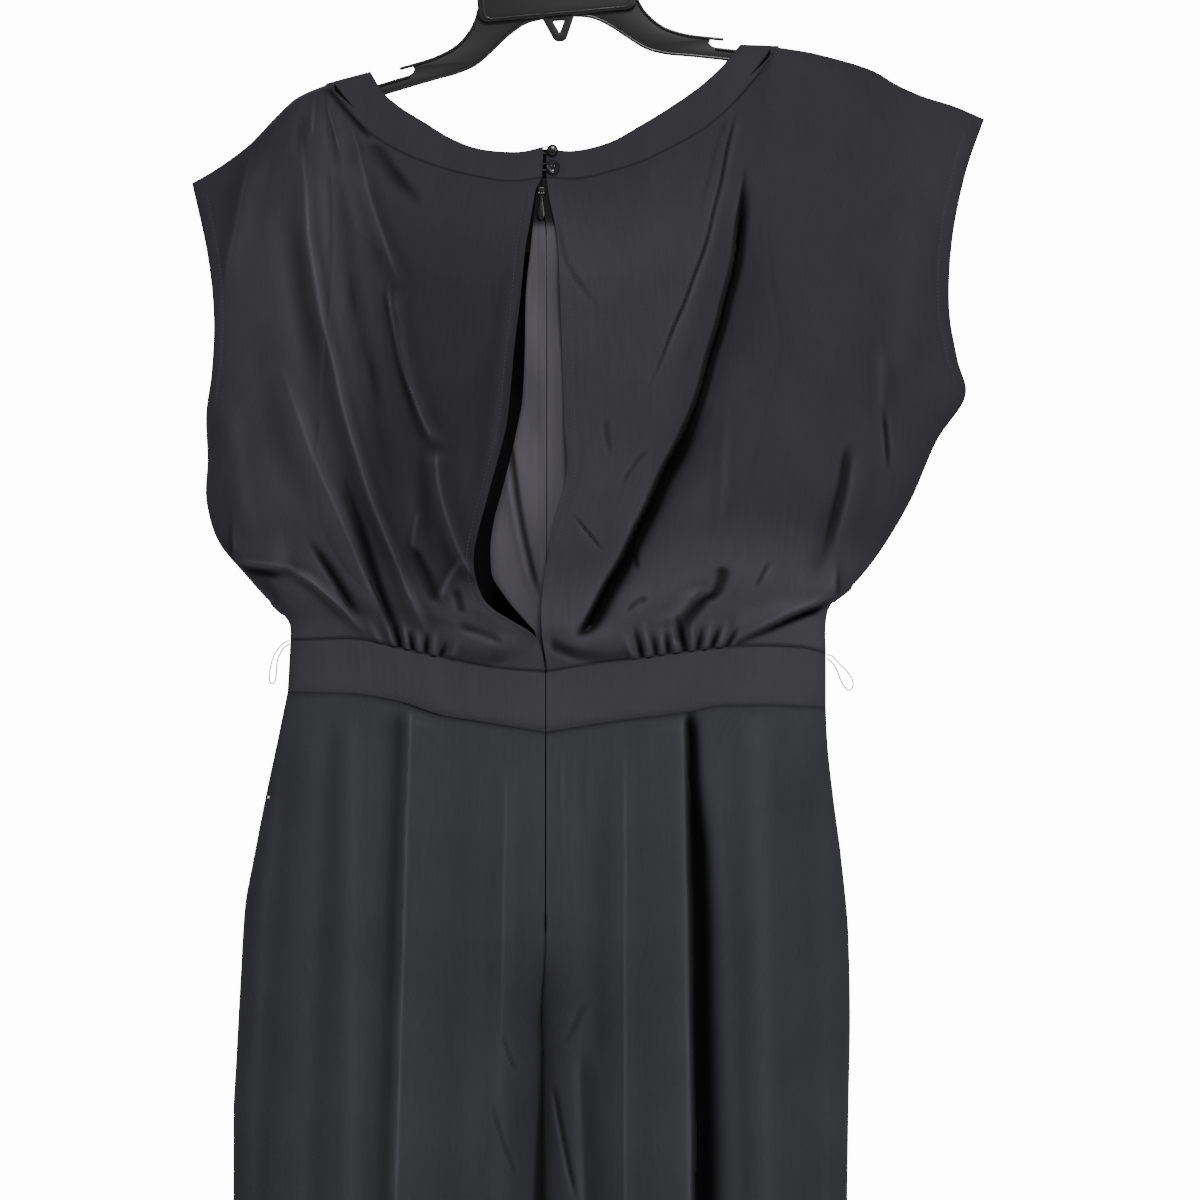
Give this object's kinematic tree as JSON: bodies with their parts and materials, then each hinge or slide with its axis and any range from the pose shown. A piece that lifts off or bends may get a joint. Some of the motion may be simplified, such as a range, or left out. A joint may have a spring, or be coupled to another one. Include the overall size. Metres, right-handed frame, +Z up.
{
  "type": "jumpsuit on a hanger",
  "caption": "Back-opening black crepe jumpsuit with cap sleeves, gathered bodice, waistband and straight legs, hanging on a moulded hanger.",
  "frame": {"origin": "inside top of the hanger's hook, where a rail holds it", "axes": "+Z up, along the length of the hanging garment; -Y towards the garment's back, which the picture shows; +X to the right in that view"},
  "size_m": [0.5548, 0.1321, 1.5484],
  "materials": {
    "crepe_bodice": "matt black crepe, soft sheen",
    "crepe_band": "matt black crepe, fused flat",
    "crepe_trousers": "matt black crepe, soft sheen",
    "crepe_underlay": "smooth black crepe, lit to grey",
    "pocketing": "plain black pocketing",
    "enamel": "black enamel, satin",
    "thread": "twisted grey thread",
    "hanger_plastic": "black moulded polystyrene",
    "hook_steel": "bright plated wire"
  },
  "bodies": {
    "garment": {"bodice_front": "crepe_bodice", "bodice_back_left": "crepe_bodice", "bodice_back_right": "crepe_bodice", "neckband_front": "crepe_bodice", "neckband_back_left": "crepe_bodice", "neckband_back_right": "crepe_bodice", "waistband_front": "crepe_band", "waistband_back_left": "crepe_band", "waistband_back_right": "crepe_band", "trouser_front_left": "crepe_trousers", "trouser_front_right": "crepe_trousers", "trouser_back_left": "crepe_trousers", "trouser_back_right": "crepe_trousers", "underlay_left": "crepe_underlay", "underlay_right": "crepe_underlay", "pocket_left": "pocketing", "pocket_right": "pocketing", "zip_chain": "enamel", "zip_slider": "enamel", "button_upper": "enamel", "button_lower": "enamel", "button_loop_upper": "thread", "button_loop_lower": "thread", "thread_loop_left": "thread", "thread_loop_right": "thread", "hanger_body": "hanger_plastic", "hanger_hook": "hook_steel"},
    "pull": {"zip_pull": "enamel"}
  },
  "joints": [
    {"name": "zip_pull_hinge", "type": "hinge", "parent": "garment", "child": "pull", "pos_m": [-0.003, -0.03171, -0.2366], "axis": [-1, 0, 0], "range_deg": [0, 150]}
  ]
}
